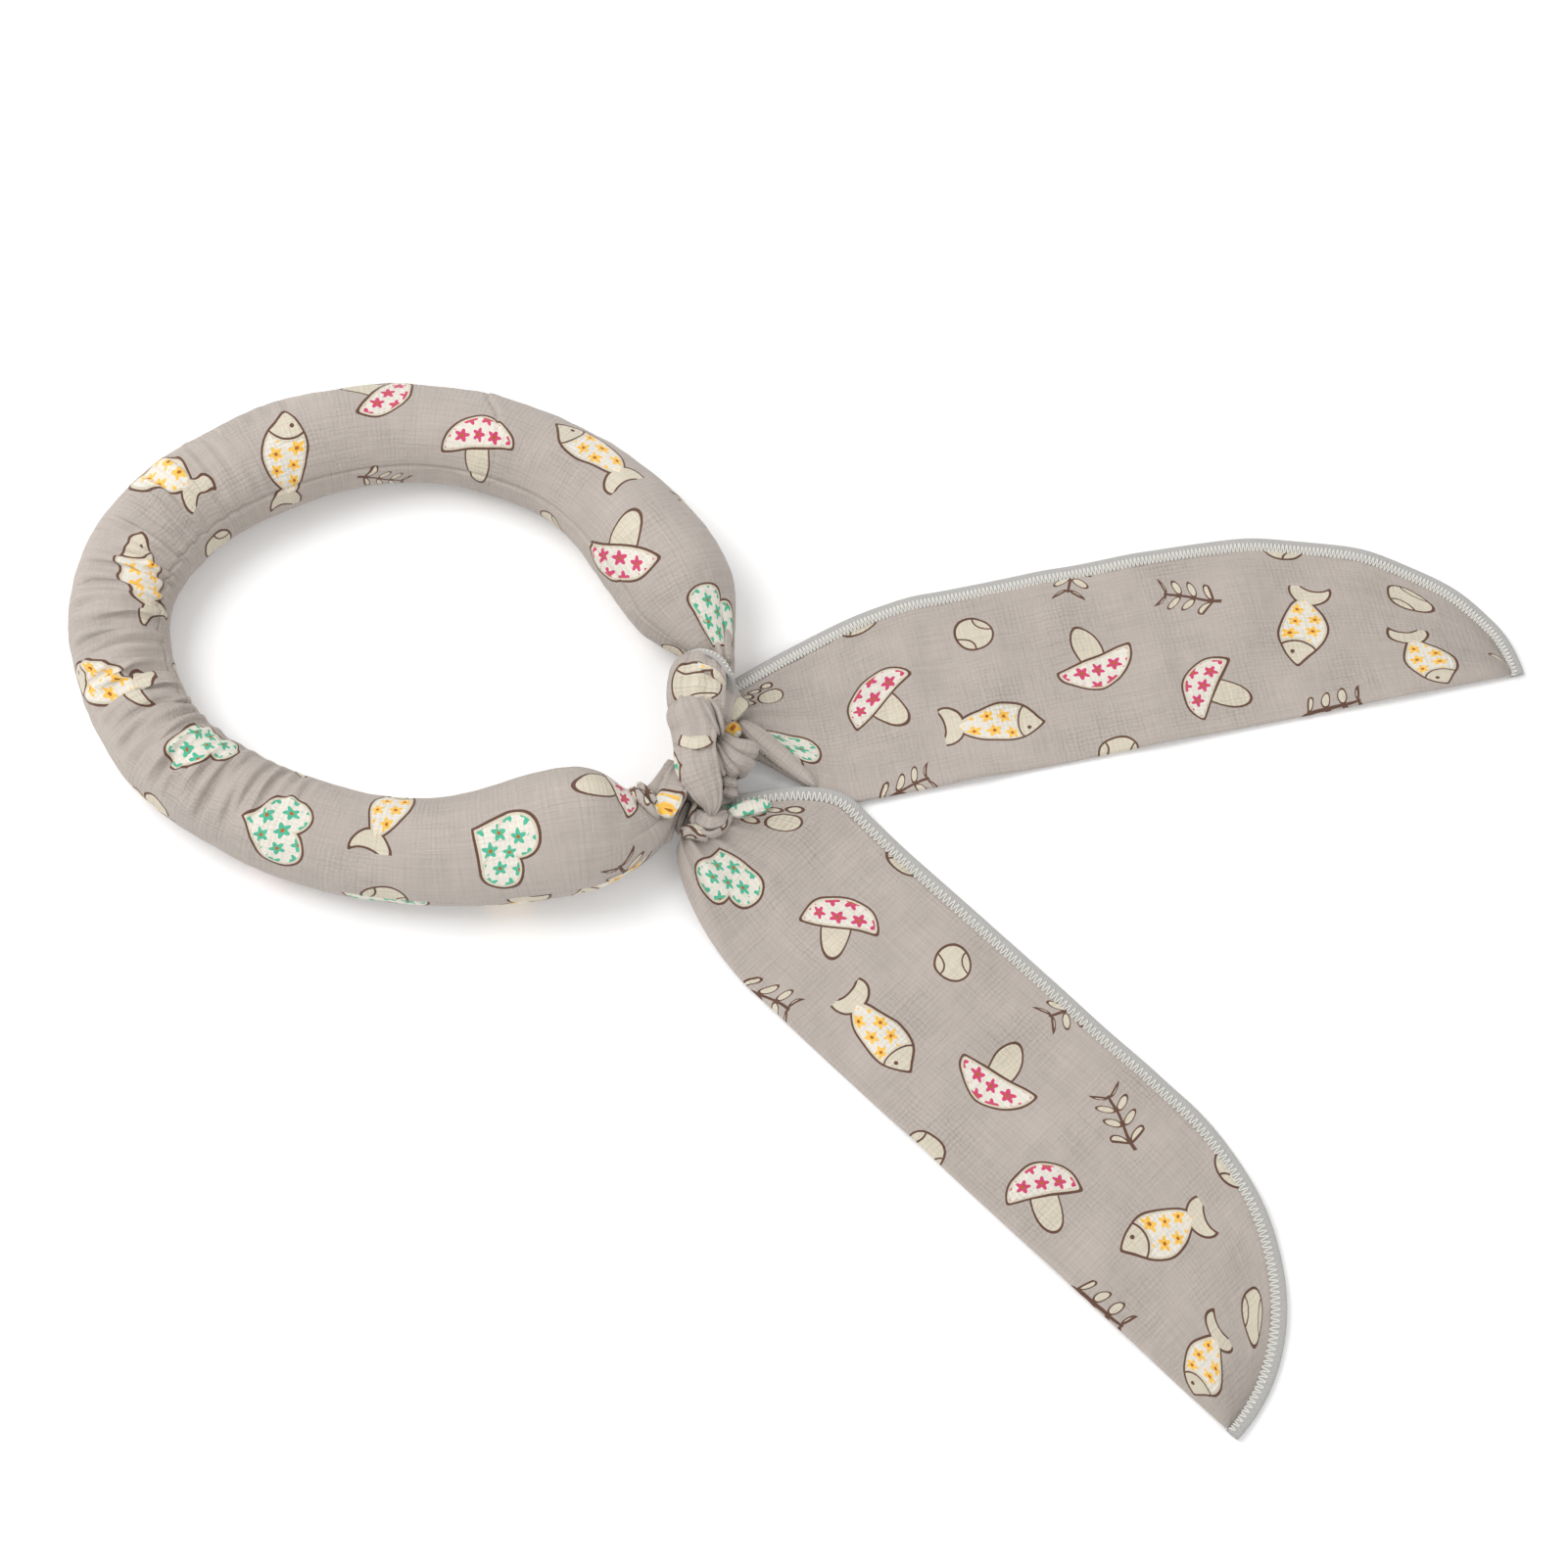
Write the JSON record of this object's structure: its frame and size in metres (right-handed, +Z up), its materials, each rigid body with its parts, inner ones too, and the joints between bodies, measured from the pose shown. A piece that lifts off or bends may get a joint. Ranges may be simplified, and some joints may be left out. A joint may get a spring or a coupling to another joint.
{
  "type": "pet cooling neck wrap",
  "caption": "Folded printed cotton strip, stuffed to a soft roll in its middle stretch and tied once, so the roll is a ring for a pet's neck and two flat overlocked tails hang free.",
  "frame": {"origin": "middle of the footprint, on the table", "axes": "+Z up from the table, +X from the padded ring through the knot towards the tails, +Y across, towards the upper tail's side"},
  "size_m": [0.45, 0.3352, 0.0352],
  "materials": {
    "printed_cotton": "matte printed cotton gauze",
    "overlock_thread": "matte overlocked thread"
  },
  "bodies": {
    "root": {"padded_roll": "printed_cotton", "knot_wrap": "printed_cotton", "knot_bulge": "printed_cotton", "knot_tuck": "printed_cotton", "tail_upper": "printed_cotton", "tail_lower": "printed_cotton", "hem_upper": "overlock_thread", "hem_lower": "overlock_thread"}
  },
  "joints": []
}
